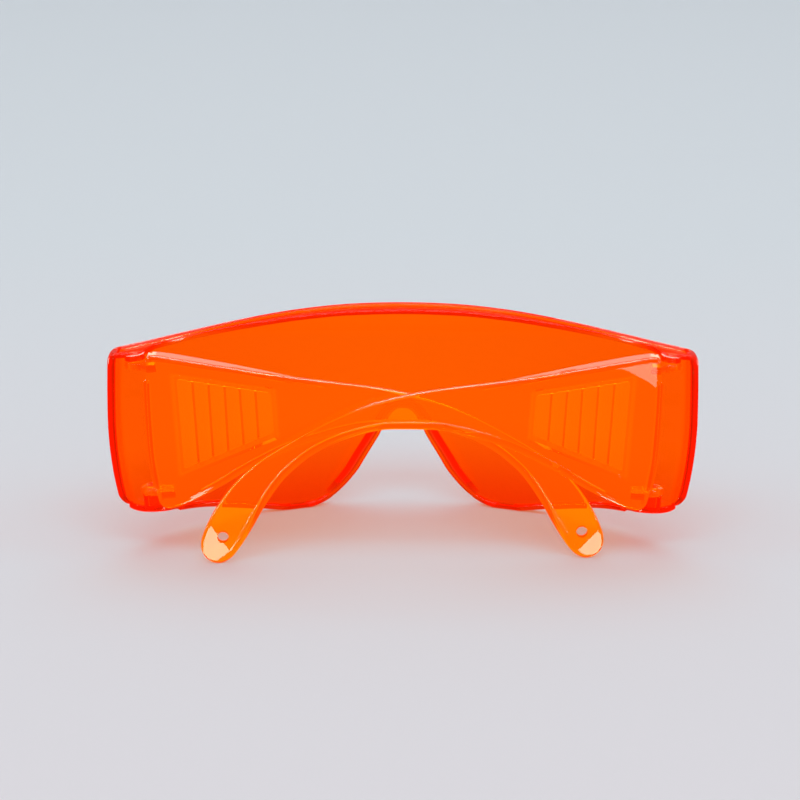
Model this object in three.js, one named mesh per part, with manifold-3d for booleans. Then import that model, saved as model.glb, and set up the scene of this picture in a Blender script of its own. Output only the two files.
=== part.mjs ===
// Folding safety glasses: a one-piece wrap-around shield and two temples, each turning on two short pins.
// Millimetres. +Z up, +Y the way the wearer looks, +X the wearer's right. The glasses are folded and stand
// on the two lower lobes of the shield and on both temple tips (z = 0). The origin is the middle of the
// footprint, on the table.
import * as THREE from 'three';
import { mergeVertices } from 'three/addons/utils/BufferGeometryUtils.js';
import Module from 'manifold-3d';

const wasm = await Module();
wasm.setup();

// ---- driving dimensions (mm) ----
const Y_SHIFT = 26.40;          // working frame has y = 0 at the front of the shield
const SHIELD_T = 2.2;           // shield wall
const PLAN_K = 162;             // plan curve of the shield: y = -x^2 / PLAN_K
const CORNER_X = 75.4;          // where the shield turns into its side return
const CORNER_R = 5;
const RETURN_ANGLE = 74;        // degrees from +X towards -Y
const Y_REAR = -42.2;           // rear edge of the side return
const LIP = 0.8;                // shield lip above the brow shelf
const SHELF_T = 1.4;
const HINGE_TILT = 5.9;         // degrees, tops of both hinge axes lean outwards
const PIVOT_X = 70.3;           // hinge axis at PIVOT_Z
const PIVOT_Z = 52.0;
const PIVOT_Y = -41.5;
const PLATE_OUT = 8.0;          // outer face of the temple plate, from the hinge axis
const PLATE_T = 1.8;            // temple plate
const REF_X = 71.0;             // temple outline is drawn from this x
const FOLD_LEFT = 0.9;          // degrees past parallel, inner temple
const FOLD_RIGHT = 1.6;         // degrees short of parallel, outer temple
const PIN_R = 1.0;
const BORE_R = 1.3;
const EAR_R = 2.9;
const EAR_TOP = [-1.1, 0.8];    // along the axis, measured from PIVOT_Z
const EAR_LOW = [-35.9, -34.1];
const CORD_HOLE = [118.6, 7.4, 1.5];

const rad = (d) => (d * Math.PI) / 180;
const V = (x, y, z) => new THREE.Vector3(x, y, z);
const clamp = (t) => Math.min(1, Math.max(0, t));
const smooth = (t) => { const c = clamp(t); return c * c * (3 - 2 * c); };
function table(rows) {
  return (x) => {
    if (x <= rows[0][0]) return rows[0][1];
    for (let i = 1; i < rows.length; i++) {
      if (x <= rows[i][0]) {
        const [a, b] = [rows[i - 1], rows[i]];
        return a[1] + ((b[1] - a[1]) * (x - a[0])) / (b[0] - a[0]);
      }
    }
    return rows[rows.length - 1][1];
  };
}

// ---- solids ----
function solidOf(positions, index) {
  let g = new THREE.BufferGeometry();
  g.setAttribute('position', new THREE.Float32BufferAttribute(positions, 3));
  g.setIndex(index);
  g = mergeVertices(g, 1e-3);
  const p = g.attributes.position.array, t = g.index.array;
  let vol = 0;
  for (let i = 0; i < t.length; i += 3) {
    const a = V(...p.slice(3 * t[i], 3 * t[i] + 3)), b = V(...p.slice(3 * t[i + 1], 3 * t[i + 1] + 3));
    const c = V(...p.slice(3 * t[i + 2], 3 * t[i + 2] + 3));
    vol += a.dot(b.cross(c));
  }
  const tri = Uint32Array.from(t);
  if (vol < 0) for (let i = 0; i < tri.length; i += 3) [tri[i + 1], tri[i + 2]] = [tri[i + 2], tri[i + 1]];
  return new wasm.Manifold(new wasm.Mesh({ numProp: 3, vertProperties: Float32Array.from(p), triVerts: tri }));
}
// closed body through a row of closed loops with the same number of points
function loft(loops) {
  const n = loops[0].length, pos = [], idx = [];
  for (const loop of loops) for (const q of loop) pos.push(q.x, q.y, q.z);
  for (let i = 0; i + 1 < loops.length; i++) {
    for (let j = 0; j < n; j++) {
      const a = i * n + j, b = i * n + ((j + 1) % n), c = a + n, d = b + n;
      idx.push(a, b, d, a, d, c);
    }
  }
  for (const [row, flip] of [[0, true], [loops.length - 1, false]]) {
    const loop = loops[row], nrm = V(0, 0, 0);
    for (let j = 0; j < n; j++) nrm.add(loop[j].clone().cross(loop[(j + 1) % n]));
    const c = loop.reduce((s, q) => s.add(q), V(0, 0, 0)).multiplyScalar(1 / n);
    nrm.normalize();
    const ux = loop[1].clone().sub(loop[0]).cross(nrm).normalize(), uy = nrm.clone().cross(ux);
    const flat = loop.map((q) => new THREE.Vector2(q.clone().sub(c).dot(ux), q.clone().sub(c).dot(uy)));
    const ccw = !THREE.ShapeUtils.isClockWise(flat);
    for (const f of THREE.ShapeUtils.triangulateShape(flat, [])) {
      const [a, b, d] = f.map((k) => row * n + k);
      if (flip === ccw) idx.push(a, d, b); else idx.push(a, b, d);
    }
  }
  return solidOf(pos, idx);
}
function fromGeometry(g) {
  const q = g.clone();
  q.deleteAttribute('normal');
  q.deleteAttribute('uv');
  const m = mergeVertices(q, 1e-3);
  return solidOf(Array.from(m.attributes.position.array), Array.from(m.index.array));
}
function sum(...parts) { return parts.reduce((a, b) => a.add(b)); }
function geometryOf(solid) {
  const m = solid.getMesh();
  const g = new THREE.BufferGeometry();
  const p = new Float32Array((m.vertProperties.length / m.numProp) * 3);
  for (let i = 0; i < p.length / 3; i++) for (let k = 0; k < 3; k++) p[3 * i + k] = m.vertProperties[i * m.numProp + k];
  g.setAttribute('position', new THREE.BufferAttribute(p, 3));
  g.setIndex(new THREE.BufferAttribute(Uint32Array.from(m.triVerts), 1));
  g.computeVertexNormals();
  return g;
}

// ---- hinge frame, wearer's right: inboard, back, along the axis ----
const tilt = rad(HINGE_TILT);
const AXIS = V(Math.sin(tilt), 0, Math.cos(tilt));
const INBOARD = V(-Math.cos(tilt), 0, Math.sin(tilt));
const PIVOT = V(PIVOT_X, PIVOT_Y, PIVOT_Z);
const HINGE = new THREE.Matrix4().makeBasis(INBOARD, V(0, -1, 0), AXIS).setPosition(PIVOT);
const hinge = (i, b, a) => V(i, b, a).applyMatrix4(HINGE);
function hingeCylinder(r, a0, a1, sides = 24) {
  const loops = [a0, a1].map((a) => Array.from({ length: sides }, (_, k) => {
    const w = (2 * Math.PI * k) / sides;
    return hinge(r * Math.cos(w), r * Math.sin(w), a);
  }));
  return loft(loops);
}

// ---- shield ----
// half plan curve of the outer surface: [x, y, inward normal x, inward normal y]
const plan = [];
let CORNER_I = 0;
for (const x of [0, 1.2, 2.4, 3.5, 4.4, 5.4, 6.6, 8, 9.5, 11, 12.7, 14.5, 16.4, 18.2, 20, 22.5, 25, 27, 29, 31, 33, 35.5, 38, 41, 44, 48, 52, 56, 60, 64, 68, 71, 73.4, CORNER_X]) {
  const s = (2 * x) / PLAN_K, l = Math.hypot(1, s);
  plan.push([x, (-x * x) / PLAN_K, -s / l, -1 / l]);
}
{
  CORNER_I = plan.length - 1;
  const start = Math.atan((2 * CORNER_X) / PLAN_K), end = rad(RETURN_ANGLE);
  const [x0, y0] = plan[plan.length - 1];
  let x = x0, y = y0;
  for (let i = 1; i <= 4; i++) {
    const a = start + ((end - start) * i) / 4, b = start + ((end - start) * (i - 0.5)) / 4;
    const ds = (CORNER_R * (end - start)) / 4;
    x += ds * Math.cos(b); y -= ds * Math.sin(b);
    plan.push([x, y, -Math.sin(a), -Math.cos(a)]);
  }
  const len = (y - Y_REAR) / Math.sin(end);
  for (const f of [0.3, 0.55, 0.75, 0.88, 0.96, 1]) {
    plan.push([x + f * len * Math.cos(end), y - f * len * Math.sin(end), -Math.sin(end), -Math.cos(end)]);
  }
}
const arc = [0];
for (let i = 1; i < plan.length; i++) arc.push(arc[i - 1] + Math.hypot(plan[i][0] - plan[i - 1][0], plan[i][1] - plan[i - 1][1]));
const ARC_END = arc[arc.length - 1];
// the sides draw in towards the bottom
const drawIn = table([[6, 0.943], [11, 0.958], [17, 0.976], [23, 0.989], [30, 0.998], [36, 1.001], [43, 1.0], [55, 0.995]]);
const side = (xRef, z) => 1 - smooth((Math.abs(xRef) - 48) / 26) * (1 - drawIn(z));
const topEdge = table([[0, 58], [14, 57.9], [28, 57.4], [42, 56.5], [56, 55.5], [64, 55.1], [70, 54.9], [75.4, 54.9], [80, 55.2]]);
const TOP_RISE = 0.3;           // the return's upper and lower edges rise towards the rear
const LOW_RISE = 1.6;
const lowEdge = table([[0, 28], [1.2, 27.9], [2.4, 27.3], [3.5, 26.2], [4.4, 24.7], [5.4, 22.6], [6.6, 20], [8, 17.6], [9.5, 15.2], [11, 12.7], [12.7, 9.9], [14.5, 7.6], [16.4, 5.5], [18.2, 3.8], [20, 2.4], [22.5, 1.15], [25, 0.4], [27, 0], [33, 0], [38, 0.9], [44, 2.4], [52, 4.3], [60, 5.8], [66, 6.6], [71, 7.6], [75.4, 9.4], [77, 11.0]]);
function edges(i) {
  const toEnd = ARC_END - arc[i];
  const roundTop = toEnd < 4 ? 4 - Math.sqrt(Math.max(0, 4 ** 2 - (4 - toEnd) ** 2)) : 0;
  const roundLow = toEnd < 4.5 ? 4.5 - Math.sqrt(Math.max(0, 4.5 ** 2 - (4.5 - toEnd) ** 2)) : 0;
  const back = clamp((plan[CORNER_I][1] - plan[i][1]) / (plan[CORNER_I][1] - Y_REAR));
  return [lowEdge(plan[i][0]) + LOW_RISE * back + roundLow, topEdge(plan[i][0]) + TOP_RISE * back - roundTop];
}
const LEVELS = 6;
function shieldLoop(i, mirror) {
  const [x, y, nx, ny] = plan[i], [lo, hi] = edges(i), loop = [];
  for (let j = 0; j <= LEVELS; j++) { const z = lo + ((hi - lo) * j) / LEVELS; loop.push(V(mirror * x * side(x, z), y, z)); }
  for (let j = LEVELS; j >= 0; j--) {
    const z = lo + ((hi - lo) * j) / LEVELS;
    loop.push(V(mirror * (x + nx * SHIELD_T) * side(x, z), y + ny * SHIELD_T, z));
  }
  return loop;
}
const last = plan.length - 1;
const wall = [];
for (let i = last; i > 0; i--) wall.push(shieldLoop(i, -1));
for (let i = 0; i <= last; i++) wall.push(shieldLoop(i, 1));

// front of the wall at a given x, as a plain function
const frontY = (x) => {
  const a = Math.abs(x);
  for (let i = 1; i <= last; i++) if (plan[i][0] >= a) {
    const f = (a - plan[i - 1][0]) / (plan[i][0] - plan[i - 1][0]);
    return plan[i - 1][1] + f * (plan[i][1] - plan[i - 1][1]);
  }
  return Y_REAR;
};
// brow shelf: deep over the nose, fading out along the brow, then the roof over each hinge
const shelfRear = table([[0, -6.0], [14, -7.1], [28, -10.4], [41, -15.1], [52, -20.2], [60, -25.6], [64, -29.6], [66.5, -34], [68, -39], [69, -41.4], [70, Y_REAR], [78, Y_REAR]]);
const shelfX = [0, 7, 14, 21, 28, 35, 41, 47, 52, 56, 60, 64, 66.5, 68, 69, 70, 72, 74, 75.4, 76.4, 77.3];
// a slab from y0 to y1 at one x, its rear higher by rise
const block = (x, y0, y1, z0, z1, kx, rise) => [V(x * kx, y0, z0), V(x * kx, y1, z0 + rise), V(x * kx, y1, z1 + rise), V(x * kx, y0, z1)];
const shelf = [];
for (const x of [...shelfX.slice(1).reverse().map((v) => -v), ...shelfX]) {
  const a = Math.abs(x), z = topEdge(a) - LIP;
  const y0 = frontY(x) - 0.6, y1 = Math.min(shelfRear(a), y0 - 0.4);
  shelf.push(block(x, y0, y1, z - SHELF_T, z, side(x, z), smooth((a - 62) / 5) * 0.09 * (y0 - y1)));
}
// floor under each hinge and bead along the lower edge
function floor(mirror) {
  const rear = table([[56, -22.6], [60, -25.6], [62, -29], [63.5, -36], [64.6, -40], [66, -41.6], [68, Y_REAR + 0.2], [72, Y_REAR + 0.2], [74, Y_REAR + 1.0], [75.2, Y_REAR + 2.0], [76.4, Y_REAR + 3.3]]);
  const rows = [];
  for (const x of [56, 58, 60, 62, 63.5, 64.6, 66, 68, 70, 72, 73, 74, 75.2, 76.4]) {
    const z = lowEdge(x);
    const y0 = frontY(x) - 0.6, y1 = Math.min(rear(x), y0 - 0.4);
    rows.push(block(mirror * x, y0, y1, z, z + 1.8, side(x, z + 1), 0.3 * (y0 - y1)));
  }
  return loft(rows);
}
function bead(mirror) {
  const rows = [];
  for (let i = 0; i <= last; i++) {
    const [x, y, nx, ny] = plan[i];
    if (x < 20 || x > 66.1) continue;
    const z = lowEdge(x), k = side(x, z), d0 = 0.6, d1 = SHIELD_T + 1.3 * smooth((x - 18) / 8);
    rows.push([V(mirror * (x + nx * d0) * k, y + ny * d0, z), V(mirror * (x + nx * d1) * k, y + ny * d1, z),
      V(mirror * (x + nx * d1) * k, y + ny * d1, z + 1.7), V(mirror * (x + nx * d0) * k, y + ny * d0, z + 1.7)]);
  }
  return loft(rows);
}
// flange round the nose notch, flaring back and outwards
function noseFlange() {
  const half = plan.map((p) => p[0]).filter((x) => x <= 20.1);
  const xs = [...half.slice(1).reverse().map((v) => -v), ...half];
  const depthAt = table([[0.3, 1.9], [2.5, 3.2], [6, 5.6], [12, 6.4], [20, 6.2], [28, 5.2]]);
  const rows = xs.map((x) => {
    const a = Math.abs(x), z = lowEdge(a), y = frontY(x);
    const e = 0.8, z0 = lowEdge(Math.max(0, a - e)), z1 = lowEdge(a + e);
    const dx = a < e ? a + e + (a - e < 0 ? e - a : 0) : 2 * e, dz = a < e ? z1 - lowEdge(Math.abs(a - e)) : z1 - z0;
    let m = V(-dz, 0, dx).normalize();                       // away from the notch, right-hand side
    if (a < 0.01) m = V(0, 0, 1);
    if (x < 0) m.x *= -1;
    const d = V(0, -Math.cos(rad(24)), 0).addScaledVector(m, Math.sin(rad(24))).multiplyScalar(depthAt(z));
    const A = V(x, y - 0.5, z), B = A.clone().add(d), up = m.clone().multiplyScalar(1.7);
    return [A, B, B.clone().add(up), A.clone().add(up)];
  });
  return loft(rows);
}
const bossTop = sum(hingeCylinder(EAR_R - 0.2, EAR_TOP[1] + 0.3, 2.6));
const bossLow = sum(hingeCylinder(EAR_R - 0.2, EAR_LOW[0] - 4.8, EAR_LOW[0] - 0.3));
const bores = sum(hingeCylinder(BORE_R, EAR_TOP[1] - 1, 2.9), hingeCylinder(BORE_R, EAR_LOW[0] - 3.5, EAR_LOW[0] + 1));
const hardware = (m) => (m > 0 ? (s) => s : (s) => s.mirror([1, 0, 0]));
let shield = sum(loft(wall), loft(shelf), floor(1), floor(-1), bead(1), bead(-1), noseFlange());
for (const m of [1, -1]) shield = shield.add(hardware(m)(bossTop.add(bossLow))).subtract(hardware(m)(bores));

// ---- temple, wearer's right, folded parallel to the x axis; s runs inboard from REF_X ----
const OUT_Y = PIVOT_Y - PLATE_OUT;
const at = (s, q, z) => V(REF_X - s, OUT_Y + q, z);          // q: depth from the outer face towards the shield
const front = table([[14, 8.4], [17, 6.4], [22, 5.5], [28, 4.65], [35, 4.25], [42, 3.95], [49, 3.85], [57, 4.0]]);
const topZ = table([[3.9, 56.2], [10, 55.5], [18, 54.1], [27, 52.6], [35, 51.2], [47, 49.3], [55, 48.3], [62, 47.9], [66, 47.4], [71, 46.5]]);
const outline = [
  [4.7, 55.9], [6, 56.1], [10, 55.5], [18, 54.1], [27, 52.6], [35, 51.2], [47, 49.6], [55, 48.6], [62, 47.7], [67, 46.9], [71.5, 46.0], [76, 44.9],
  [80, 43.7], [84, 42.2], [88, 40.4], [92, 38.4], [96, 36.2], [100, 33.9], [104, 31.5], [108, 28.9], [111.5, 26.0], [114.8, 22.8], [117.6, 19.4], [120, 15.9], [122, 12.3], [123.5, 8.9], [124.4, 6], [124.3, 3.6], [123.4, 1.8], [122, 0.62], [120.2, 0.03],
  [118.2, 0.4], [116.3, 1.7], [114.5, 3.9], [112.6, 6.8], [110.7, 10], [108.8, 13.5], [106.8, 16.9], [104.6, 20.3], [101.9, 23.8], [99, 26.6], [95.5, 29.5], [91.8, 31.8], [88, 33.6], [84, 35.0], [80, 36.1], [76, 36.8], [71.5, 36.9], [66, 36.8], [61, 36.5],
  [56, 35.5], [50.5, 33.9], [45, 32.0], [39.8, 29.8], [34, 26.8], [28.9, 23.9], [24.5, 21.1], [20.3, 18.7], [16, 16.5], [13, 15.1], [10.6, 14.3], [9, 14.1], [7.7, 14.6],
  [6.9, 15.5], [6.4, 17], [5.8, 20], [5.25, 23], [4.85, 27], [4.45, 32], [4.25, 37], [4.1, 42], [4.0, 48], [4.0, 53], [4.15, 55.0],
];
// louvre slits between slanted edges
const slits = [[15.9, 49.0, 17.3, 26.6], [20.1, 48.4, 21.1, 28.4], [24.3, 47.6, 25.1, 30.3], [28.2, 47.0, 29.2, 31.7], [32.3, 46.4, 33.1, 33.3]];
const SLIT_W = 0.9;
function plate() {
  const shape = new THREE.Shape(outline.map(([s, z]) => new THREE.Vector2(s, z)));
  const g = new THREE.ExtrudeGeometry(shape, { depth: PLATE_T, bevelEnabled: false });
  // (s, z, q) -> (x, y, z)
  g.applyMatrix4(new THREE.Matrix4().set(-1, 0, 0, REF_X, 0, 0, 1, OUT_Y, 0, 1, 0, 0, 0, 0, 0, 1));
  let body = fromGeometry(g);
  for (const [s1, z1, s0, z0] of slits) {
    const cut = (q) => [[s1 - SLIT_W / 2, z1], [s1 + SLIT_W / 2, z1], [s0 + SLIT_W / 2, z0], [s0 - SLIT_W / 2, z0]].map(([a, b]) => at(a, q, b));
    body = body.subtract(loft([cut(-1), cut(PLATE_T + 1)]));
  }
  const ring = (q) => Array.from({ length: 20 }, (_, k) => at(CORD_HOLE[0] + CORD_HOLE[2] * Math.cos((k * Math.PI) / 10), q, CORD_HOLE[1] + CORD_HOLE[2] * Math.sin((k * Math.PI) / 10)));
  return body.subtract(loft([ring(-1), ring(PLATE_T + 1)]));
}
function topRib() {
  const depth = table([[4, 5.7], [18, 5.6], [30, 4.6], [42, 3.0], [52, PLATE_T]]);
  return loft([4.3, 10, 18, 27, 35, 42, 47, 52].map((s) => {
    const z = topZ(s) - (s < 6 ? 0.5 : 0.05), d = depth(s);
    return [at(s, 0.5, z - 1.6), at(s, d, z - 1.6), at(s, d, z), at(s, 0.5, z)];
  }));
}
function frontRib() {
  return loft([19.4, 23, 28, 35, 42, 48.4].map((z) => {
    const s = front(z);
    return [at(s + 1.0, 0.5, z), at(s + 1.0, 5.4, z), at(s - 0.9, 5.4, z), at(s - 0.9, PLATE_T + 0.15, z), at(s + 0.3, PLATE_T - 0.3, z), at(s + 0.3, 0.5, z)];
  }));
}
// an ear: a flat tab square to the hinge axis, round at the pin, rooted in the plate
function ear([a0, a1], sInner) {
  const b1 = PLATE_OUT - 0.6, inner = sInner;
  const pts = [];
  for (let k = 0; k <= 12; k++) { const w = Math.PI * (1 + k / 12) - rad(18); pts.push([EAR_R * Math.cos(w), EAR_R * Math.sin(w)]); }
  pts.push([inner, 0.6], [inner + 0.6, b1], [1.6 + 2.4, b1]);
  pts.push([1.4, 4.3], [-0.4, 3.6]);
  return loft([a0, a1].map((a) => pts.map(([i, b]) => hinge(i, b, a))));
}
const earHole = (r) => hingeCylinder(BORE_R, r[0] - 0.5, r[1] + 0.5, 20);
const temple = sum(plate(), topRib(), frontRib(), ear(EAR_TOP, 5.4), ear(EAR_LOW, 6.2)).subtract(earHole(EAR_TOP)).subtract(earHole(EAR_LOW));
const pinTop = hingeCylinder(PIN_R, EAR_TOP[0] - 0.6, 2.6, 20);
const pinLow = hingeCylinder(PIN_R, EAR_LOW[0] - 3.2, EAR_LOW[1] + 0.6, 20);

function turn(solid, mirror, degrees) {
  const axis = V(mirror * AXIS.x, 0, AXIS.z), p = V(mirror * PIVOT.x, PIVOT.y, PIVOT.z);
  const m = new THREE.Matrix4().makeTranslation(p.x, p.y, p.z)
    .multiply(new THREE.Matrix4().makeRotationAxis(axis, rad(degrees)))
    .multiply(new THREE.Matrix4().makeTranslation(-p.x, -p.y, -p.z));
  return solid.transform(Array.from(m.elements));
}

const root = new THREE.Group();
root.position.y = Y_SHIFT;
function add(name, solid, color, roughness) {
  const mesh = new THREE.Mesh(geometryOf(solid), new THREE.MeshStandardMaterial({ color, roughness, metalness: 0 }));
  mesh.name = name;
  root.add(mesh);
}
add('lens_shield', shield, 0xff5a0a, 0.08);
add('temple_right', turn(temple, 1, FOLD_RIGHT), 0xff7a10, 0.1);
add('temple_left', turn(temple.mirror([1, 0, 0]), -1, FOLD_LEFT), 0xff7a10, 0.1);
add('hinge_pin_upper_right', pinTop, 0xf06a20, 0.2);
add('hinge_pin_lower_right', pinLow, 0xf06a20, 0.2);
add('hinge_pin_upper_left', pinTop.mirror([1, 0, 0]), 0xf06a20, 0.2);
add('hinge_pin_lower_left', pinLow.mirror([1, 0, 0]), 0xf06a20, 0.2);

export default root;
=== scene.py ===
# Folding safety glasses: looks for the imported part. Metres, same frame as the CAD.
import math
import bpy
import bmesh
import numpy as np
from mathutils import Matrix, Vector


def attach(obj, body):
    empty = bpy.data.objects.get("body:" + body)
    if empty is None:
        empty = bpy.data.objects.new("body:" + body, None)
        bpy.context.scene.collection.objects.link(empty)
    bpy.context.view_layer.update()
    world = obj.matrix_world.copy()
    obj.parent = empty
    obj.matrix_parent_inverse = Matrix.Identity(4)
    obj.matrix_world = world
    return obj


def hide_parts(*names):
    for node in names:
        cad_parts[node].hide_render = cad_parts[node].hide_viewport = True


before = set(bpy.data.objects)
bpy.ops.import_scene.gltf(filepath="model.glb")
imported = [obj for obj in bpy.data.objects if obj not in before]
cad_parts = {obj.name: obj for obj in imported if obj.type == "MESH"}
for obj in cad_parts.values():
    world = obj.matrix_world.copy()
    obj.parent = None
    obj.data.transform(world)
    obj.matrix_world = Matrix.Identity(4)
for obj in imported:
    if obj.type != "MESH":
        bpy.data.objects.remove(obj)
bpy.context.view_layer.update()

# ---------------------------------------------------------------- dimensions (mm, y = 0 at the shield front)
Y_SHIFT = 26.40
T = 2.2                     # shield wall
PLAN_K = 162.0
CORNER_X, CORNER_R, RETURN = 75.4, 5.0, math.radians(74)
Y_REAR = -42.2
LIP, SHELF_T = 0.8, 1.4
TILT = math.radians(5.9)
PIVOT = np.array([70.3, -41.5, 52.0])
PLATE_OUT, PLATE_T = 8.0, 1.8
REF_X, OUT_Y = 71.0, -49.5
FOLD_LEFT, FOLD_RIGHT = math.radians(0.9), math.radians(1.6)
PIN_R, BORE_R, EAR_R = 1.0, 1.3, 2.9
EAR_TOP, EAR_LOW = (-1.1, 0.8), (-35.9, -34.1)
TOP_RISE, LOW_RISE = 0.3, 1.6


def pchip(rows, flat_start=False):
    x = np.array([r[0] for r in rows], float)
    y = np.array([r[1] for r in rows], float)
    h, d = np.diff(x), np.diff(y) / np.diff(x)
    m = np.zeros_like(x)
    for i in range(1, len(x) - 1):
        if d[i - 1] * d[i] > 0:
            w1, w2 = 2 * h[i] + h[i - 1], h[i] + 2 * h[i - 1]
            m[i] = (w1 + w2) / (w1 / d[i - 1] + w2 / d[i])
    m[0], m[-1] = (0 if flat_start else d[0]), d[-1]

    def f(q):
        q = np.clip(q, x[0], x[-1])
        i = np.clip(np.searchsorted(x, q, side="right") - 1, 0, len(x) - 2)
        t = (q - x[i]) / h[i]
        return (y[i] * (1 + 2 * t) * (1 - t) ** 2 + h[i] * m[i] * t * (1 - t) ** 2
                + y[i + 1] * t * t * (3 - 2 * t) + h[i] * m[i + 1] * t * t * (t - 1))
    return f


def smooth(t):
    t = np.clip(t, 0, 1)
    return t * t * (3 - 2 * t)


# ---------------------------------------------------------------- mesh helpers
def solid(verts, faces, name="s"):
    me = bpy.data.meshes.new(name)
    me.from_pydata([tuple(v) for v in verts], [], faces)
    bm = bmesh.new()
    bm.from_mesh(me)
    bmesh.ops.remove_doubles(bm, verts=bm.verts, dist=1e-4)
    bmesh.ops.dissolve_degenerate(bm, dist=1e-5, edges=bm.edges)
    bmesh.ops.recalc_face_normals(bm, faces=bm.faces)
    if bm.calc_volume(signed=True) < 0:
        bmesh.ops.reverse_faces(bm, faces=bm.faces)
    bm.to_mesh(me)
    bm.free()
    o = bpy.data.objects.new(name, me)
    bpy.context.scene.collection.objects.link(o)
    return o


def loft(loops, name="loft"):
    n = len(loops[0])
    v = np.concatenate([np.asarray(l, float) for l in loops])
    f = []
    for i in range(len(loops) - 1):
        for j in range(n):
            a, b = i * n + j, i * n + (j + 1) % n
            f.append((a, b, b + n, a + n))
    f.append(tuple(range(n - 1, -1, -1)))
    f.append(tuple(range((len(loops) - 1) * n, len(loops) * n)))
    return solid(v, f, name)


def boolean(a, b, op="UNION"):
    m = a.modifiers.new("b", "BOOLEAN")
    m.operation, m.object, m.solver = op, b, "MANIFOLD"
    dg = bpy.context.evaluated_depsgraph_get()
    n0 = len(a.data.polygons)
    me = bpy.data.meshes.new_from_object(a.evaluated_get(dg), depsgraph=dg)
    if len(me.polygons) < 8 or len(me.polygons) < n0 * 0.2:
        m.solver = "EXACT"
        dg = bpy.context.evaluated_depsgraph_get()
        me = bpy.data.meshes.new_from_object(a.evaluated_get(dg), depsgraph=dg)
        print("exact solver used for", a.name, b.name)
    a.modifiers.clear()
    a.data = me
    bpy.data.objects.remove(b)
    return a


def mirrored(o):
    c = o.copy()
    c.data = o.data.copy()
    c.data.transform(Matrix.Diagonal((-1, 1, 1, 1)))
    c.data.flip_normals()
    bpy.context.scene.collection.objects.link(c)
    return c


def rrect(u0, u1, v0, v1, r, k=4, nu=1, nv=1):
    """Loop round a rectangle, corner radii r = (u0v0, u1v0, u1v1, u0v1)."""
    pts = []
    corners = [(u0, v0, 180, r[0]), (u1, v0, 270, r[1]), (u1, v1, 0, r[2]), (u0, v1, 90, r[3])]
    cs = []
    for (cu, cv, a0, rr) in corners:
        rr = max(rr, 1e-3)
        su, sv = (1 if cu == u0 else -1), (1 if cv == v0 else -1)
        c = (cu + su * rr, cv + sv * rr)
        cs.append([(c[0] + rr * math.cos(math.radians(a0 + 90 * i / k)), c[1] + rr * math.sin(math.radians(a0 + 90 * i / k))) for i in range(k + 1)])
    for i in range(4):
        pts += cs[i]
        p, q, n = cs[i][-1], cs[(i + 1) % 4][0], (nu if i % 2 == 0 else nv)
        for j in range(1, n):
            pts.append((p[0] + (q[0] - p[0]) * j / n, p[1] + (q[1] - p[1]) * j / n))
    return np.array(pts)


# ---------------------------------------------------------------- hinge frame, wearer's right
AX = np.array([math.sin(TILT), 0, math.cos(TILT)])
IN = np.array([-math.cos(TILT), 0, math.sin(TILT)])


def hinge(i, b, a):
    return PIVOT + i * IN + b * np.array([0, -1.0, 0]) + a * AX


def turned(profile, sides=48, name="turned"):
    loops = [[hinge(r * math.cos(w), r * math.sin(w), a) for w in np.linspace(0, 2 * math.pi, sides, endpoint=False)] for r, a in profile]
    return loft(loops, name)


# ---------------------------------------------------------------- shield
plan = []
for x in np.concatenate([np.arange(0, 21, 0.45), np.arange(21, CORNER_X, 1.1), [CORNER_X]]):
    s = 2 * x / PLAN_K
    l = math.hypot(1, s)
    plan.append((x, -x * x / PLAN_K, -s / l, -1 / l))
CI = len(plan) - 1
a0 = math.atan(2 * CORNER_X / PLAN_K)
N = 12
x, y = plan[-1][:2]
for i in range(1, N + 1):
    a, b, ds = a0 + (RETURN - a0) * i / N, a0 + (RETURN - a0) * (i - 0.5) / N, CORNER_R * (RETURN - a0) / N
    x, y = x + ds * math.cos(b), y - ds * math.sin(b)
    plan.append((x, y, -math.sin(a), -math.cos(a)))
L = (y - Y_REAR) / math.sin(RETURN)
for f in [0.12, 0.25, 0.38, 0.5, 0.6, 0.7, 0.77, 0.83, 0.88, 0.92, 0.95, 0.975, 0.99, 1]:
    plan.append((x + f * L * math.cos(RETURN), y - f * L * math.sin(RETURN), -math.sin(RETURN), -math.cos(RETURN)))
plan = np.array(plan)
arc = np.concatenate([[0], np.cumsum(np.hypot(np.diff(plan[:, 0]), np.diff(plan[:, 1])))])

draw_in = pchip([[6, 0.943], [11, 0.958], [17, 0.976], [23, 0.989], [30, 0.998], [36, 1.001], [43, 1.0], [55, 0.995]])
side = lambda xr, z: 1 - smooth((abs(xr) - 48) / 26) * (1 - draw_in(z))
top_edge = pchip([[0, 58], [14, 57.9], [28, 57.4], [42, 56.5], [56, 55.5], [64, 55.1], [70, 54.9], [75.4, 54.9], [80, 55.2]], True)
low_edge = pchip([[0, 28], [1.2, 27.9], [2.4, 27.3], [3.5, 26.2], [4.4, 24.7], [5.4, 22.6], [6.6, 20], [8, 17.6], [9.5, 15.2], [11, 12.7], [12.7, 9.9], [14.5, 7.6], [16.4, 5.5], [18.2, 3.8], [20, 2.4], [22.5, 1.15], [25, 0.4], [27, 0], [33, 0], [38, 0.9], [44, 2.4], [52, 4.3], [60, 5.8], [66, 6.6], [71, 7.6], [75.4, 9.4], [77, 11.0]], True)
front_y = lambda xx: float(np.interp(abs(xx), plan[:, 0], plan[:, 1]))


def edges(i):
    to_end = arc[-1] - arc[i]
    rt = 4 - math.sqrt(max(0, 16 - (4 - to_end) ** 2)) if to_end < 4 else 0
    rl = 4.5 - math.sqrt(max(0, 4.5 ** 2 - (4.5 - to_end) ** 2)) if to_end < 4.5 else 0
    back = min(1, max(0, (plan[CI, 1] - plan[i, 1]) / (plan[CI, 1] - Y_REAR)))
    return low_edge(plan[i, 0]) + LOW_RISE * back + rl, top_edge(plan[i, 0]) + TOP_RISE * back - rt


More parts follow.
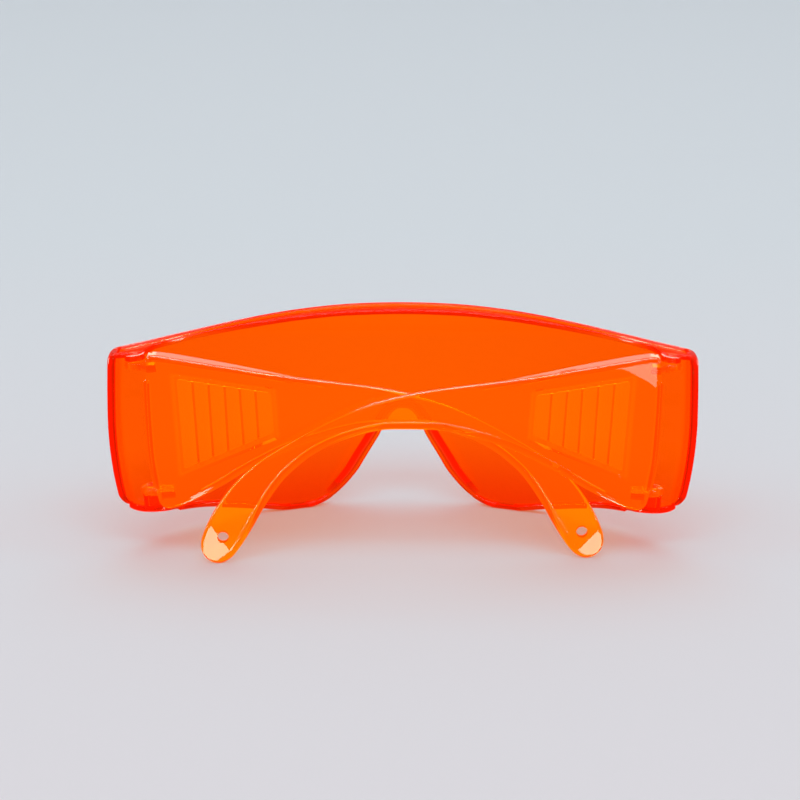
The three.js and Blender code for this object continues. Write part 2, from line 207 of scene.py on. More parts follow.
def wall_loop(i, mirror):
    x, y, nx, ny = plan[i]
    lo, hi = edges(i)
    to_end = arc[-1] - arc[i]
    r = 0.85
    t0 = r - math.sqrt(max(0, r * r - (r - to_end) ** 2)) if to_end < r else 0
    rr = min(0.85, (T - 2 * t0) / 2 - 0.05)
    out = []
    for d, z in rrect(t0, T - t0, lo, hi, (0.7 if rr > 0.7 else rr,) * 2 + (rr, rr), 5, 1, 30):
        out.append((mirror * (x + nx * d) * side(x, z), y + ny * d, z))
    return out


rows = [wall_loop(i, -1) for i in range(len(plan) - 1, 0, -1)] + [wall_loop(i, 1) for i in range(len(plan))]
# the middle station belongs to both halves: same loop order on both sides
shield = loft(rows, "shield_wall")

shelf_rear = pchip([[0, -6.0], [14, -7.1], [28, -10.4], [41, -15.1], [52, -20.2], [60, -25.6], [64, -29.6], [66.5, -34], [68, -39], [69, -41.4], [70, Y_REAR], [78, Y_REAR]], True)
rows = []
xs = np.concatenate([np.arange(0, 58, 1.4), np.arange(58, 77.2, 0.5), [77.3]])
for x in np.concatenate([-xs[:0:-1], xs]):
    a = abs(x)
    z = top_edge(a) - LIP
    y0 = front_y(x) - 0.6
    y1 = min(shelf_rear(a), y0 - 0.8)
    k, rise = side(x, z), smooth((a - 62) / 5) * 0.09 * (y0 - y1)
    r = min(0.7, (y0 - y1) / 2 - 0.05)
    rows.append([(x * k, y, zz + rise * (y0 - y) / (y0 - y1)) for y, zz in rrect(y1, y0, z - SHELF_T, z, (r, 0.02, 0.02, r), 4, 3, 1)])
shield = boolean(shield, loft(rows, "shelf"))


def floor_part():
    rear = pchip([[56, -22.6], [60, -25.6], [62, -29], [63.5, -36], [64.6, -40], [66, -41.6], [68, Y_REAR + 0.2], [72, Y_REAR + 0.2], [74, Y_REAR + 1.0], [75.2, Y_REAR + 2.0], [76.4, Y_REAR + 3.3]])
    out = []
    for x in np.arange(56, 76.5, 0.4):
        z, y0 = low_edge(x), front_y(x) - 0.6
        y1 = min(rear(x), y0 - 1.2)
        k, rise = side(x, z + 1), 0.3 * (y0 - y1)
        out.append([(x * k, y, zz + rise * (y0 - y) / (y0 - y1)) for y, zz in rrect(y1, y0, z, z + 1.8, (0.5, 0.02, 0.02, 0.5), 4, 2, 1)])
    return loft(out, "floor")


def bead_part():
    out = []
    for i in range(len(plan)):
        x, y, nx, ny = plan[i]
        if x < 20 or x > 66.1:
            continue
        z = low_edge(x)
        k, d1 = side(x, z), T + 1.3 * smooth((x - 18) / 8)
        out.append([((x + nx * d) * k, y + ny * d, zz) for d, zz in rrect(0.6, d1, z, z + 1.7, (0.02, 0.7, 0.7, 0.02), 4, 1, 1)])
    return loft(out, "bead")


for part in (floor_part, bead_part):
    p = part()
    q = mirrored(p)
    shield = boolean(boolean(shield, p), q)

depth_at = pchip([[0.3, 1.9], [2.5, 3.2], [6, 5.6], [12, 6.4], [20, 6.2], [28, 5.2]])
rows = []
xs = np.concatenate([np.arange(0, 6, 0.3), np.arange(6, 20.2, 0.4)])
for x in np.concatenate([-xs[:0:-1], xs]):
    a, z, y = abs(x), low_edge(abs(x)), front_y(x)
    e = 0.35
    slope = (low_edge(a + e) - (low_edge(a - e) if a >= e else low_edge(e - a))) / (2 * e)
    m = np.array([-slope, 0, 1.0]) / math.hypot(slope, 1)
    if x < 0:
        m[0] *= -1
    u = np.array([0, -math.cos(math.radians(24)), 0]) + m * math.sin(math.radians(24))
    D = float(depth_at(z))
    A = np.array([x, y - 0.5, z])
    rows.append([A + u * p + m * q for p, q in rrect(0, D, 0, 1.7, (0.02, 0.75, 0.75, 0.02), 5, 2, 1)])
shield = boolean(shield, loft(rows, "nose"))

R = EAR_R - 0.2
for prof in ([(R, EAR_TOP[1] + 0.3), (R, 2.6)], [(R - 0.4, EAR_LOW[0] - 4.8), (R, EAR_LOW[0] - 4.4), (R, EAR_LOW[0] - 0.3)]):
    p = turned(prof)
    q = mirrored(p)
    shield = boolean(boolean(shield, p), q)
for prof in ([(BORE_R, EAR_TOP[1] - 1), (BORE_R, 2.9)], [(BORE_R, EAR_LOW[0] - 3.5), (BORE_R, EAR_LOW[0] + 1)]):
    p = turned(prof)
    q = mirrored(p)
    shield = boolean(boolean(shield, p, "DIFFERENCE"), q, "DIFFERENCE")

# ---------------------------------------------------------------- temple, wearer's right, parallel to x
OUTLINE = [
    [4.7, 55.9], [6, 56.1], [10, 55.5], [18, 54.1], [27, 52.6], [35, 51.2], [47, 49.6], [55, 48.6], [62, 47.7], [67, 46.9], [71.5, 46.0], [76, 44.9],
    [80, 43.7], [84, 42.2], [88, 40.4], [92, 38.4], [96, 36.2], [100, 33.9], [104, 31.5], [108, 28.9], [111.5, 26.0], [114.8, 22.8], [117.6, 19.4], [120, 15.9], [122, 12.3], [123.5, 8.9], [124.4, 6], [124.3, 3.6], [123.4, 1.8], [122, 0.62], [120.2, 0.03],
    [118.2, 0.4], [116.3, 1.7], [114.5, 3.9], [112.6, 6.8], [110.7, 10], [108.8, 13.5], [106.8, 16.9], [104.6, 20.3], [101.9, 23.8], [99, 26.6], [95.5, 29.5], [91.8, 31.8], [88, 33.6], [84, 35.0], [80, 36.1], [76, 36.8], [71.5, 36.9], [66, 36.8], [61, 36.5],
    [56, 35.5], [50.5, 33.9], [45, 32.0], [39.8, 29.8], [34, 26.8], [28.9, 23.9], [24.5, 21.1], [20.3, 18.7], [16, 16.5], [13, 15.1], [10.6, 14.3], [9, 14.1], [7.7, 14.6],
    [6.9, 15.5], [6.4, 17], [5.8, 20], [5.25, 23], [4.85, 27], [4.45, 32], [4.25, 37], [4.1, 42], [4.0, 48], [4.0, 53], [4.15, 55.0]]
front = pchip([[14, 8.4], [17, 6.4], [22, 5.5], [28, 4.65], [35, 4.25], [42, 3.95], [49, 3.85], [57, 4.0]])
top_z = pchip([[3.9, 56.2], [10, 55.5], [18, 54.1], [27, 52.6], [35, 51.2], [47, 49.3], [55, 48.3], [62, 47.9]])


def at(s, q, z):
    return np.array([REF_X - s, OUT_Y + q, z])


def spline(points, step):
    """Closed centripetal Catmull-Rom through the points, resampled at an even step."""
    P = np.array(points, float)
    n, out = len(P), []
    for i in range(n):
        p = [P[(i + k) % n] for k in (-1, 0, 1, 2)]
        t = [0.0]
        for k in range(3):
            t.append(t[-1] + max(1e-6, np.linalg.norm(p[k + 1] - p[k])) ** 0.5)
        for w in np.linspace(t[1], t[2], 12, endpoint=False):
            A = [(t[k + 1] - w) / (t[k + 1] - t[k]) * p[k] + (w - t[k]) / (t[k + 1] - t[k]) * p[k + 1] for k in range(3)]
            B = [(t[k + 2] - w) / (t[k + 2] - t[k]) * A[k] + (w - t[k]) / (t[k + 2] - t[k]) * A[k + 1] for k in range(2)]
            out.append((t[2] - w) / (t[2] - t[1]) * B[0] + (w - t[1]) / (t[2] - t[1]) * B[1])
    out = np.array(out + [out[0]])
    s = np.concatenate([[0], np.cumsum(np.linalg.norm(np.diff(out, axis=0), axis=1))])
    q = np.linspace(0, s[-1], int(s[-1] / step), endpoint=False)
    return np.stack([np.interp(q, s, out[:, 0]), np.interp(q, s, out[:, 1])], 1)


def normals2(P):
    d = np.roll(P, -1, 0) - np.roll(P, 1, 0)
    n = np.stack([-d[:, 1], d[:, 0]], 1) / np.maximum(1e-9, np.linalg.norm(d, axis=1))[:, None]
    area = 0.5 * np.sum(P[:, 0] * np.roll(P[:, 1], -1) - np.roll(P[:, 0], -1) * P[:, 1])
    return n * (1 if area > 0 else -1)          # pointing inwards


def slab(P, q0, q1, r, place, k=5, extra=0.5, name="slab"):
    """Rounded slab over a closed outline, from depth q0 to q1."""
    n = normals2(P)
    steps = ([(r + extra, q0)] if extra else []) + [(r * (1 - math.sin(w)), q0 + r * (1 - math.cos(w))) for w in np.linspace(0, math.pi / 2, k + 1)]
    steps += [(i, q1 - (q - q0)) for i, q in steps[::-1]]
    return loft([[place(p[0], q, p[1]) for p in P + n * i] for i, q in steps], name)


shape = spline(OUTLINE, 0.8)
temple = slab(shape, 0, PLATE_T, 0.72, at, name="plate")

# top flange, front rib
depth = pchip([[4, 5.7], [18, 5.6], [30, 4.6], [42, 3.0], [52, PLATE_T]])
rows = []
for s in np.arange(4.4, 52, 0.8):
    z, d = float(top_z(s)) - (0.5 - 0.45 * smooth((s - 4.4) / 2)), max(float(depth(s)), PLATE_T - 0.1)
    rows.append([at(s, q, zz) for q, zz in rrect(0.5, d, z - 1.6, z, (0.02, 0.55, 0.55, 0.02), 4, 2, 1)])
temple = boolean(temple, loft(rows, "top_rib"))
rows = []
for z in np.arange(19.4, 48.8, 1.0):
    s = float(front(z))
    rows.append([at(ss, q, z) for ss, q in rrect(s - 0.7, s + 0.9, PLATE_T - 0.4, 5.4, (0.02, 0.02, 0.5, 0.5), 4, 1, 2)])
temple = boolean(temple, loft(rows, "front_rib"))


# bead along the lower edge of the arm and side shield, on the outer face
nrm = normals2(shape)
low = [i for i in range(len(shape)) if 14 < shape[i, 0] < 117 and nrm[i, 1] > -0.2 and (shape[i, 1] < 60 - 0.38 * 0 and nrm[i, 1] > 0.05)]
runs, cur = [], [low[0]]
for a, b in zip(low, low[1:]):
    if b == a + 1:
        cur.append(b)
    else:
        runs.append(cur)
        cur = [b]
runs.append(cur)
run = max(runs, key=len)
rows = []
for k, i in enumerate(run):
    f = min(1.0, k / 14, (len(run) - 1 - k) / 14)
    w, h = 0.95, 0.34 * smooth(f) + 0.02
    c = shape[i] + nrm[i] * 1.45
    loop = []
    for j in range(16):
        t = 2 * math.pi * j / 16
        p = c + nrm[i] * w * math.cos(t)
        loop.append(at(p[0], 0.45 - (0.45 + h) * math.sin(t) if math.sin(t) > 0 else 0.45 - 0.3 * math.sin(t), p[1]))
    rows.append(loop)
temple = boolean(temple, loft(rows, "arm_bead"))

# louvre panel: shallow recess, opening, slanted slats
LINES = [((11.9, 49.6), (13.4, 25.0)), ((15.9, 49.0), (17.3, 26.6)), ((20.1, 48.4), (21.1, 28.4)), ((24.3, 47.6), (25.1, 30.3)),
         ((28.2, 47.0), (29.2, 31.7)), ((32.3, 46.4), (33.1, 33.3)), ((36.4, 45.8), (37.1, 35.0))]
quad = np.array([LINES[0][0], LINES[-1][0], LINES[-1][1], LINES[0][1]])


def grown(Q, d):
    out = []
    area = sum(Q[i][0] * Q[(i + 1) % 4][1] - Q[(i + 1) % 4][0] * Q[i][1] for i in range(4))
    for i in range(4):
        p, c, n = Q[i - 1], Q[i], Q[(i + 1) % 4]
        e1, e2 = (c - p) / np.linalg.norm(c - p), (n - c) / np.linalg.norm(n - c)
        n1, n2 = np.array([e1[1], -e1[0]]), np.array([e2[1], -e2[0]])
        if area < 0:
            n1, n2 = -n1, -n2
        b = n1 + n2
        out.append(c + b * d / (b @ n1))
    return np.array(out)


def soft_quad(Q, r, k=5):
    """Closed outline of a quadrilateral with round corners."""
    out = []
    for i in range(4):
        p, c, n = Q[i - 1], Q[i], Q[(i + 1) % 4]
        a, b = c + (p - c) / np.linalg.norm(p - c) * r, c + (n - c) / np.linalg.norm(n - c) * r
        for t in np.linspace(0, 1, k + 1):
            out.append((1 - t) ** 2 * a + 2 * t * (1 - t) * c + t * t * b)
    return np.array(out)


def prism(P, q0, q1, name="prism"):
    return loft([[at(p[0], q, p[1]) for p in P] for q in (q0, q1)], name)


rows = []
for g, q in ((2.15, -0.2), (1.9, 0.0), (1.25, 0.55)):
    rows.append([at(p[0], q, p[1]) for p in soft_quad(grown(quad, g), 1.2)])
temple = boolean(temple, loft(rows, "recess"), "DIFFERENCE")
temple = boolean(temple, prism(soft_quad(quad, 0.7), -1.5, PLATE_T + 1.5), "DIFFERENCE")
for j in range(6):
    rows = []
    for e in (0, 1):
        A, B = np.array(LINES[j][e]), np.array(LINES[j + 1][e])
        grow = 1.1 if e == 0 else -1.1
        lo_s, hi_s = A[0] + (0.36 if j else -0.6), B[0] - (0.36 if j < 5 else -0.6)
        z_lo, z_hi = A[1] + grow, B[1] + grow
        loop = []
        for u, v in rrect(0, 1, 0, 1.0, (0.06, 0.06, 0.06, 0.06), 2, 4, 1):
            s = lo_s + (hi_s - lo_s) * u
            z = z_lo + (z_hi - z_lo) * u
            bow = 0.22 * math.sin(math.pi * u)
            loop.append(at(s, 0.25 + 0.85 * u + 0.95 * v - bow, z))
        rows.append(loop)
    temple = boolean(temple, loft(rows, "slat"))

# cord hole
ring = np.array([[118.6 + 1.5 * math.cos(w), 7.4 + 1.5 * math.sin(w)] for w in np.linspace(0, 2 * math.pi, 48, endpoint=False)])
temple = boolean(temple, prism(ring, -1, PLATE_T + 1), "DIFFERENCE")


# ears
def ear(rng, inner):
    b1 = PLATE_OUT - 0.6
    P = []
    for k in range(25):
        w = math.pi * (1 + k / 24) - math.radians(18)
        P.append([EAR_R * math.cos(w), EAR_R * math.sin(w)])
    P += [[inner, 0.6], [inner + 0.6, b1], [4.0, b1], [1.4, 4.3], [-0.4, 3.6]]
    P = np.array(P)
    q = []
    for i in range(len(P)):                      # even resample keeps the inset clean
        a, b = P[i], P[(i + 1) % len(P)]
        m = max(1, int(np.linalg.norm(b - a) / 0.5))
        q += [a + (b - a) * t / m for t in range(m)]
    return slab(np.array(q), rng[0], rng[1], 0.3, lambda i, a, b: hinge(i, b, a), k=3, extra=0, name="ear")


temple = boolean(boolean(temple, ear(EAR_TOP, 5.4)), ear(EAR_LOW, 6.2))
for r in (EAR_TOP, EAR_LOW):
    temple = boolean(temple, turned([(BORE_R, r[0] - 0.5), (BORE_R, r[1] + 0.5)]), "DIFFERENCE")


def turn(o, m, angle):
    axis = Vector((m * AX[0], 0, AX[2]))
    p = Vector((m * PIVOT[0], PIVOT[1], PIVOT[2]))
    o.data.transform(Matrix.Translation(p) @ Matrix.Rotation(angle, 4, axis) @ Matrix.Translation(-p))
    return o


left = turn(mirrored(temple), -1, FOLD_LEFT)
right = turn(temple, 1, FOLD_RIGHT)


def pin(a_lo, a_hi):
    c = 0.22
    return turned([(PIN_R - c, a_lo), (PIN_R - c * 0.3, a_lo + c * 0.3), (PIN_R, a_lo + c), (PIN_R, a_hi - c), (PIN_R - c * 0.3, a_hi - c * 0.3), (PIN_R - c, a_hi)], 40, "pin")


pin_top, pin_low = pin(EAR_TOP[0] - 0.6, 2.6), pin(EAR_LOW[0] - 3.2, EAR_LOW[1] + 0.6)
pieces = {
    "lens_shield": (shield, "front", "lens"), "temple_right": (right, "right_temple", "temple"), "temple_left": (left, "left_temple", "temple"),
    "hinge_pin_upper_left": (mirrored(pin_top), "front", "pin"), "hinge_pin_lower_left": (mirrored(pin_low), "front", "pin"),
    "hinge_pin_upper_right": (pin_top, "front", "pin"), "hinge_pin_lower_right": (pin_low, "front", "pin")}


# ---------------------------------------------------------------- materials
def node(nt, kind, **inputs):
    n = nt.nodes.new(kind)
    for k, v in inputs.items():
        key = k.replace("_", " ")
        if key in n.inputs:
            n.inputs[key].default_value = v
        else:
            setattr(n, k, v)
    return n


def plastic(name, absorb, painted_glow, shadow, density=4000.0, rough=0.008, bump=0.012, painted_low_shade=None):
    """Clear tinted polycarbonate. absorb: per mm for R, G, B. The third argument is a painted self-lit colour: a fixed
    emission added on every surface, lit or not, not light that the surface takes in.
    """
    m = bpy.data.materials.new(name)
    m.use_nodes = True
    nt = m.node_tree
    nt.nodes.clear()
    out = node(nt, "ShaderNodeOutputMaterial")
    p = node(nt, "ShaderNodeBsdfPrincipled", Base_Color=(1, 1, 1, 1), Roughness=rough, IOR=1.585, Transmission_Weight=1.0, Specular_Tint=(0.8, 0.62, 0.52, 1))
    tex = node(nt, "ShaderNodeTexCoord")
    # faint flow waviness of a moulded part, and fine handling marks
    flow = node(nt, "ShaderNodeTexNoise", Scale=38.0, Detail=2.0, Roughness=0.45)
    fine = node(nt, "ShaderNodeTexNoise", Scale=900.0, Detail=3.0, Roughness=0.6)
    nt.links.new(tex.outputs["Object"], flow.inputs["Vector"])
    nt.links.new(tex.outputs["Object"], fine.inputs["Vector"])
    b = node(nt, "ShaderNodeBump", Strength=bump, Distance=0.004)
    nt.links.new(flow.outputs["Fac"], b.inputs["Height"])
    nt.links.new(b.outputs["Normal"], p.inputs["Normal"])
    rr = node(nt, "ShaderNodeMapRange", From_Min=0.35, From_Max=0.75, To_Min=rough * 0.6, To_Max=rough * 2.2)
    nt.links.new(fine.outputs["Fac"], rr.inputs["Value"])
    nt.links.new(rr.outputs["Result"], p.inputs["Roughness"])
    # painted emission: a fixed orange self-lit colour on every surface, whatever light falls on it
    e = node(nt, "ShaderNodeEmission", Color=(*painted_glow, 1), Strength=1.0)
    add = nt.nodes.new("ShaderNodeAddShader")
    nt.links.new(p.outputs[0], add.inputs[0])
    nt.links.new(e.outputs[0], add.inputs[1])
    lp = node(nt, "ShaderNodeLightPath")
    tr = node(nt, "ShaderNodeBsdfTransparent", Color=(*shadow, 1))
    mix = nt.nodes.new("ShaderNodeMixShader")
    both = node(nt, "ShaderNodeMath", operation="MAXIMUM")
    nt.links.new(lp.outputs["Is Shadow Ray"], both.inputs[0])
    nt.links.new(lp.outputs["Is Diffuse Ray"], both.inputs[1])
    nt.links.new(both.outputs[0], mix.inputs[0])
    nt.links.new(add.outputs[0], mix.inputs[1])
    nt.links.new(tr.outputs[0], mix.inputs[2])
    nt.links.new(mix.outputs[0], out.inputs["Surface"])
    v = node(nt, "ShaderNodeVolumeAbsorption", Density=density, Color=(*[1 - 1000 * a / density for a in absorb], 1))
    vm = nt.nodes.new("ShaderNodeMixShader")            # lamps reach the table through the surface tint alone
    nt.links.new(both.outputs[0], vm.inputs[0])
    nt.links.new(v.outputs[0], vm.inputs[1])
    nt.links.new(vm.outputs[0], out.inputs["Volume"])
    # painted shade: the base colour turns darker towards the bottom of the part, standing in for the shadowed table
    # seen through the lower lens
    if painted_low_shade:
        sep = node(nt, "ShaderNodeSeparateXYZ")
        nt.links.new(tex.outputs["Object"], sep.inputs[0])
        up = node(nt, "ShaderNodeMapRange", From_Min=0.003, From_Max=0.026)
        nt.links.new(sep.outputs["Z"], up.inputs["Value"])
        tint = nt.nodes.new("ShaderNodeMix")
        tint.data_type = "RGBA"
        tint.inputs[6].default_value = (*painted_low_shade, 1)
        tint.inputs[7].default_value = (1, 1, 1, 1)
        nt.links.new(up.outputs["Result"], tint.inputs[0])
        nt.links.new(tint.outputs[2], p.inputs["Base Color"])
    return m


# The emission colours below are painted self-lit colour; the lens's low colour is painted shade low down.
mats = {
    "lens": plastic("clear_orange_lens", (0.022, 0.86, 3.9), (0.20, 0.008, 0.0), (1.0, 0.50, 0.30), painted_low_shade=(0.84, 0.40, 1.0)),
    "temple": plastic("clear_orange_temple", (0.018, 0.58, 3.8), (0.20, 0.052, 0.0), (1.0, 0.66, 0.50)),
    "pin": plastic("orange_pin", (0.03, 0.9, 3.9), (0.20, 0.02, 0.002), (1.0, 0.4, 0.3), rough=0.12),
}
for name, (o, body, slot) in pieces.items():
    me = o.data
    me.transform(Matrix.Scale(0.001, 4) @ Matrix.Translation((0, Y_SHIFT, 0)))
    me.materials.clear()
    me.materials.append(mats[slot])
    me.shade_smooth()
    me.set_sharp_from_angle(angle=math.radians(38))
    o.name = name + "_look"
    me.name = o.name
    w = o.modifiers.new("even_normals", "WEIGHTED_NORMAL")
    w.keep_sharp = True
    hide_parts(name)
    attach(o, body)

# ---------------------------------------------------------------- stage
def mirror_only(nt, lp):
    """1 for a ray mirrored off the polished plastic, 0 for one seen directly or through it."""
    a = node(nt, "ShaderNodeMath", operation="MULTIPLY")
    b = node(nt, "ShaderNodeMath", operation="SUBTRACT", use_clamp=True)
    nt.links.new(lp.outputs["Is Glossy Ray"], b.inputs[0])
    nt.links.new(lp.outputs["Is Transmission Ray"], b.inputs[1])
    nt.links.new(b.outputs[0], a.inputs[0])
    nt.links.new(lp.outputs["Is Reflection Ray"], a.inputs[1])
    return a.outputs[0]


def card(name, points, strength, reach, colour=(1.0, 0.93, 0.86)):
    """A white card that only shows as a reflection on the plastic."""
    me = bpy.data.meshes.new(name)
    me.from_pydata(points, [], [tuple(range(len(points)))])
    o = bpy.data.objects.new(name, me)
    bpy.context.scene.collection.objects.link(o)
    m = bpy.data.materials.new(name)
    m.use_nodes = True
    m.node_tree.nodes.clear()
    e = node(m.node_tree, "ShaderNodeEmission", Color=(*colour, 1), Strength=strength)
    out = node(m.node_tree, "ShaderNodeOutputMaterial")
    m.node_tree.links.new(e.outputs[0], out.inputs["Surface"])
    lp = node(m.node_tree, "ShaderNodeLightPath")       # near faces only, so it doesn't show in the shield too
    ab, be, mu = (node(m.node_tree, "ShaderNodeMath", operation=op) for op in ("GREATER_THAN", "LESS_THAN", "MULTIPLY"))
    st = node(m.node_tree, "ShaderNodeMath", operation="MULTIPLY")
    for n, v in ((ab, reach[0]), (be, reach[1])):
        n.inputs[1].default_value = v
        m.node_tree.links.new(lp.outputs["Ray Length"], n.inputs[0])
    m.node_tree.links.new(ab.outputs[0], mu.inputs[0])
    m.node_tree.links.new(be.outputs[0], mu.inputs[1])
    m.node_tree.links.new(mu.outputs[0], st.inputs[0])
    st.inputs[1].default_value = strength
    m.node_tree.links.new(st.outputs[0], e.inputs["Strength"])
    m.cycles.emission_sampling = "NONE"
    me.materials.append(m)
    o.visible_camera = o.visible_diffuse = o.visible_transmission = o.visible_shadow = o.visible_volume_scatter = False


def stage_material():
    m = bpy.data.materials.new("studio_sweep")
    m.use_nodes = True
    nt = m.node_tree
    p = nt.nodes["Principled BSDF"]
    p.inputs["Roughness"].default_value = 0.55
    p.inputs["Specular IOR Level"].default_value = 0.0
    tex = node(nt, "ShaderNodeTexCoord")
    sep = node(nt, "ShaderNodeSeparateXYZ")
    nt.links.new(tex.outputs["Object"], sep.inputs[0])
    ramp = node(nt, "ShaderNodeMapRange", From_Min=-0.25, From_Max=0.35, To_Min=0.0, To_Max=1.0)
    nt.links.new(sep.outputs["Y"], ramp.inputs["Value"])
    mix = nt.nodes.new("ShaderNodeMix")
    mix.data_type = "RGBA"
    mix.inputs[6].default_value = (0.80, 0.765, 0.795, 1)
    mix.inputs[7].default_value = (0.745, 0.785, 0.82, 1)
    nt.links.new(ramp.outputs["Result"], mix.inputs[0])
    nt.links.new(mix.outputs[2], p.inputs["Base Color"])
    lp = node(nt, "ShaderNodeLightPath")
    # painted reflection: mirrored in the plastic, the sweep shows this faint orange self-lit colour instead of its own
    # shading
    painted_reflection = node(nt, "ShaderNodeEmission", Color=(0.30, 0.06, 0.015, 1), Strength=1.0)
    sh = nt.nodes.new("ShaderNodeMixShader")
    nt.links.new(mirror_only(nt, lp), sh.inputs[0])
    nt.links.new(p.outputs[0], sh.inputs[1])
    nt.links.new(painted_reflection.outputs[0], sh.inputs[2])
    # painted shade: seen through the plastic, the sweep's part nearest the camera is swapped for a nearly lightless
    # self-lit colour
    near = node(nt, "ShaderNodeMapRange", From_Min=-0.30, From_Max=-0.18, To_Min=0.92, To_Max=0.0)
    nt.links.new(sep.outputs["Y"], near.inputs["Value"])
    bent = node(nt, "ShaderNodeMath", operation="MULTIPLY")
    nt.links.new(near.outputs["Result"], bent.inputs[0])
    nt.links.new(lp.outputs["Is Transmission Ray"], bent.inputs[1])
    painted_dark_refraction = node(nt, "ShaderNodeEmission", Color=(0.02, 0.01, 0.01, 1), Strength=1.0)
    sh2 = nt.nodes.new("ShaderNodeMixShader")
    nt.links.new(bent.outputs[0], sh2.inputs[0])
    nt.links.new(sh.outputs[0], sh2.inputs[1])
    nt.links.new(painted_dark_refraction.outputs[0], sh2.inputs[2])
    nt.links.new(sh2.outputs[0], nt.nodes["Material Output"].inputs["Surface"])
    return m


prof = [(-2.2, 0.0), (1.2, 0.0)] + [(1.2 + 0.8 * math.sin(w), 0.8 - 0.8 * math.cos(w)) for w in np.linspace(0.08, math.pi / 2, 20)] + [(2.0, 3.2)]
v = [(x, y, z) for y, z in prof for x in (-3.0, 3.0)]
f = [(2 * i, 2 * i + 1, 2 * i + 3, 2 * i + 2) for i in range(len(prof) - 1)]
me = bpy.data.meshes.new("sweep")
me.from_pydata(v, [], f)
sweep = bpy.data.objects.new("studio_sweep", me)
bpy.context.scene.collection.objects.link(sweep)
me.shade_smooth()
me.materials.append(stage_material())


def softbox(name, loc, aim, sx, sy, power, colour=(1, 1, 1)):
    l = bpy.data.lights.new(name, "AREA")
    l.shape, l.size, l.size_y, l.energy, l.color = "RECTANGLE", sx, sy, power, colour
    o = bpy.data.objects.new(name, l)
    o.location = loc
    o.rotation_mode = "QUATERNION"
    o.rotation_quaternion = (Vector(aim) - Vector(loc)).to_track_quat("-Z", "Y")
    bpy.context.scene.collection.objects.link(o)
    return o


softbox("top_box", (0.0, 0.95, 1.7), (0, 0.85, 0), 2.2, 1.6, 11.5)
softbox("key_box", (0.0, -0.75, 1.25), (0, 0.1, 0), 1.3, 0.6, 6.0)
softbox("left_box", (-1.3, -0.2, 0.9), (0, 0.1, 0.03), 0.7, 0.9, 2.2)
softbox("right_box", (1.3, -0.2, 0.9), (0, 0.1, 0.03), 0.7, 0.9, 2.2)
# seen only as highlights on the polished plastic
for name, loc, sx, sy, power in (("glint_top", (0.05, 0.15, 1.0), 1.2, 0.7, 26.0), ("glint_left", (-0.9, -0.25, 0.35), 0.2, 0.6, 6.0),
                                 ("glint_right", (0.9, -0.25, 0.35), 0.2, 0.6, 6.0)):
    o = softbox(name, loc, (0, 0, 0.03), sx, sy, power)
    o.visible_diffuse = o.visible_transmission = False

h = 0.0006
card("tip_card_right", [(-0.0513, -0.0547, h), (-0.0457, -0.0341, h), (-0.0490, -0.0269, h), (-0.0560, -0.0269, h), (-0.0560, -0.0547, h)], 13.0, (0.0, 0.036))
card("tip_card_left", [(0.0546, -0.0420, h), (0.0473, -0.0263, h), (0.0485, -0.0220, h), (0.0570, -0.0220, h), (0.0580, -0.0420, h)], 13.0, (0.0, 0.030))
card("plate_card", [(0.0807, -0.199, h), (0.1050, -0.225, h), (0.0914, -0.177, h)], 6.0, (0.15, 0.215))
for m in (-1, 1):
    card("flange_card_%d" % (m + 1), [(m * 0.17, 1.35, 0.36), (m * 0.34, 1.35, 0.36), (m * 0.34, 1.35, 0.52), (m * 0.17, 1.35, 0.52)], 2.4, (1.0, 2.0))
# a strip behind the glasses that lights only the temples' top flanges
strip = softbox("glint_flange", (0.0, 1.35, 0.46), (0, 0, 0.05), 0.34, 0.18, 0.22, (1.0, 0.86, 0.84))
strip.visible_diffuse = strip.visible_transmission = strip.visible_camera = False
only = bpy.data.collections.new("temple_receivers")
for n in ("temple_left", "temple_right"):
    only.objects.link(pieces[n][0])
strip.light_linking.receiver_collection = only
bpy.data.objects["glint_top"].light_linking.receiver_collection = only
shield_only = bpy.data.collections.new("shield_receivers")
shield_only.objects.link(pieces["lens_shield"][0])
for name, x in (("glint_lip_left", -0.75), ("glint_lip_right", 0.75)):
    g = softbox(name, (x, 0.9, 0.75), (0, 0, 0.05), 0.5, 0.12, 0.5)
    g.visible_diffuse = g.visible_transmission = False
    g.light_linking.receiver_collection = shield_only

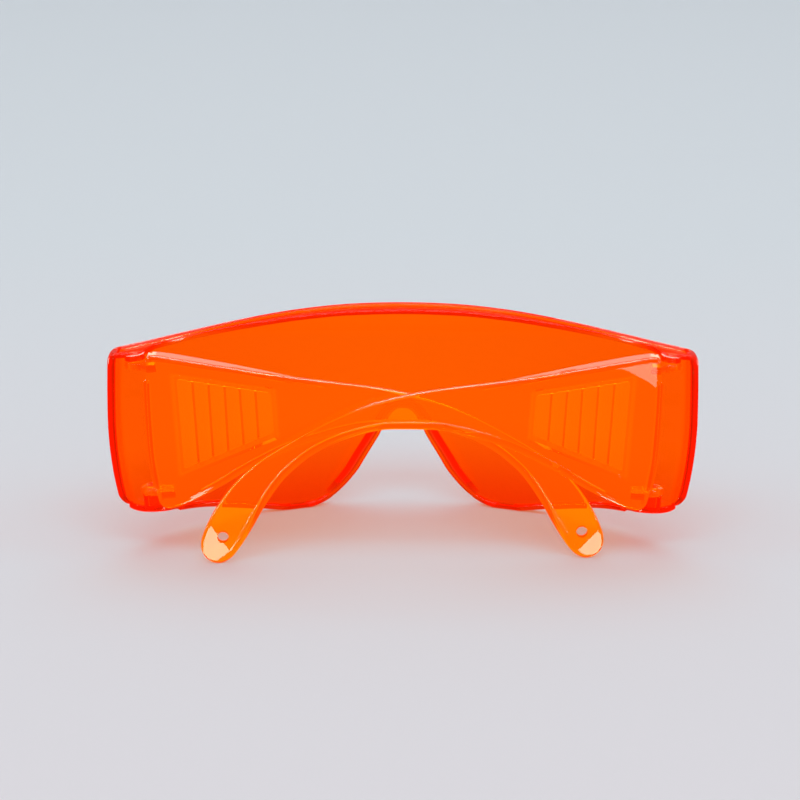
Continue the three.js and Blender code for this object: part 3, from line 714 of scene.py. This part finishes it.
world = bpy.data.worlds.new("studio")
world.use_nodes = True
bg = world.node_tree.nodes["Background"]
bg.inputs[0].default_value = (0.93, 0.965, 1.0, 1)
bg.inputs[1].default_value = 0.40
nt = world.node_tree
lp = node(nt, "ShaderNodeLightPath")
# painted reflection: mirrored in the plastic, the world shows this faint orange instead of its own colour
painted_world_reflection = node(nt, "ShaderNodeBackground", Color=(0.35, 0.10, 0.04, 1), Strength=0.5)
sh = nt.nodes.new("ShaderNodeMixShader")
nt.links.new(mirror_only(nt, lp), sh.inputs[0])
nt.links.new(bg.outputs[0], sh.inputs[1])
nt.links.new(painted_world_reflection.outputs[0], sh.inputs[2])
nt.links.new(sh.outputs[0], nt.nodes["World Output"].inputs["Surface"])
gen = node(nt, "ShaderNodeTexCoord")
sepw = node(nt, "ShaderNodeSeparateXYZ")
nt.links.new(gen.outputs["Generated"], sepw.inputs[0])
# painted shade: seen through the plastic, the world turns deeply shadowed towards the camera side
painted_refraction_shade = node(nt, "ShaderNodeMapRange", From_Min=-0.35, From_Max=0.15, To_Min=0.06, To_Max=1.0)
nt.links.new(sepw.outputs["Y"], painted_refraction_shade.inputs["Value"])
keep = node(nt, "ShaderNodeMix")
nt.links.new(lp.outputs["Is Transmission Ray"], keep.inputs[0])
keep.inputs[2].default_value = 1.0
nt.links.new(painted_refraction_shade.outputs["Result"], keep.inputs[3])
stren = node(nt, "ShaderNodeMath", operation="MULTIPLY")
stren.inputs[1].default_value = 0.40
nt.links.new(keep.outputs[0], stren.inputs[0])
nt.links.new(stren.outputs[0], bg.inputs[1])
bpy.context.scene.world = world

# ---------------------------------------------------------------- camera
E, DIST = math.radians(16.942), 0.700
cam = bpy.data.cameras.new("camera")
cam.sensor_width, cam.lens = 36.0, 2586.0 / 800 * 36
cam.shift_x = -2.77 / 800
cam.clip_start, cam.clip_end = 0.01, 20
co = bpy.data.objects.new("camera", cam)
co.matrix_world = Matrix.Translation((0, 0.0014 - DIST * math.cos(E), 0.03703 + DIST * math.sin(E))) @ Matrix.Rotation(math.pi / 2 - E, 4, "X") @ Matrix.Rotation(0.00322, 4, "Z")
bpy.context.scene.collection.objects.link(co)
sc = bpy.context.scene
sc.camera = co
sc.view_settings.view_transform = "Standard"
sc.view_settings.look = "None"
sc.cycles.max_bounces = 24
sc.cycles.transmission_bounces = 20
sc.cycles.transparent_max_bounces = 24
sc.cycles.glossy_bounces = 8
sc.cycles.caustics_refractive = True
sc.cycles.caustics_reflective = False
sc.cycles.sample_clamp_indirect = 6
